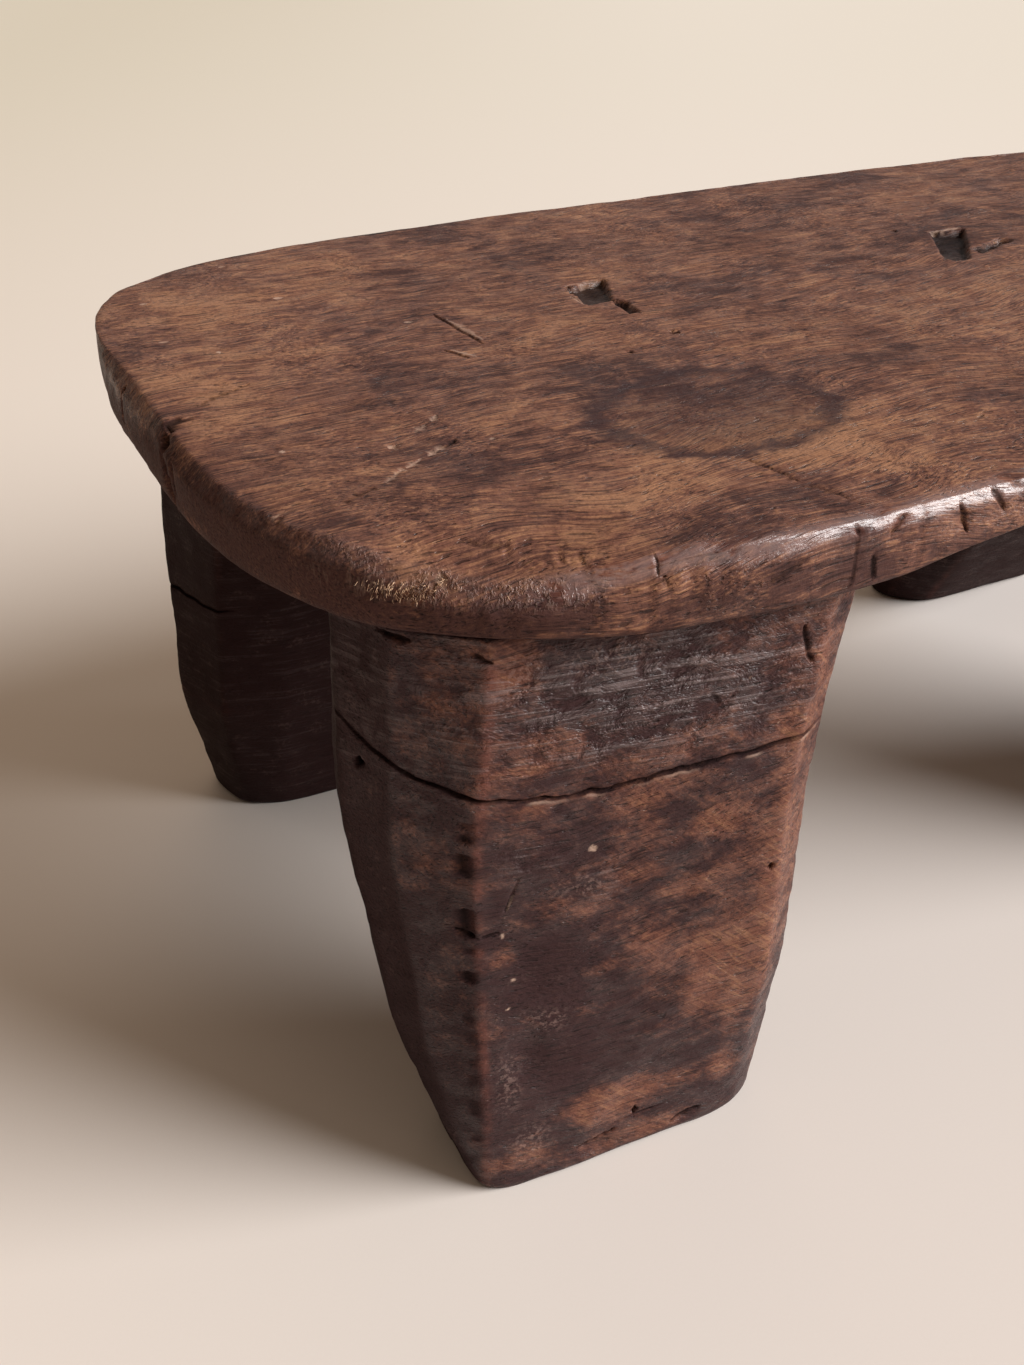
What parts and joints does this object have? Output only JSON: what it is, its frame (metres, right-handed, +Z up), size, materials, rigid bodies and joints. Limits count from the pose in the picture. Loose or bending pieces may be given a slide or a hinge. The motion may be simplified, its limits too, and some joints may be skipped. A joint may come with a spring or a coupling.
{
  "type": "stool",
  "caption": "Low carved wooden stool: thick oblong slab with round corners and an arched underside, on stout faceted block legs.",
  "frame": {"origin": "on the floor, under the middle of the seat", "axes": "+X along the seat, +Y across it towards the back, +Z up"},
  "size_m": [0.6001, 0.328, 0.24],
  "materials": {
    "seat_wood": "dark hardwood, hand polished by use, satin",
    "leg_wood": "dark hardwood, tool-marked, satin",
    "wedge_wood": "bare split hardwood, matt"
  },
  "bodies": {
    "root": {"seat": "seat_wood", "leg_front_left": "leg_wood", "leg_front_right": "leg_wood", "leg_back_left": "leg_wood", "leg_back_right": "leg_wood", "wedge_front_left": "wedge_wood", "wedge_front_right": "wedge_wood", "wedge_back_left": "wedge_wood", "wedge_back_right": "wedge_wood"}
  },
  "joints": []
}
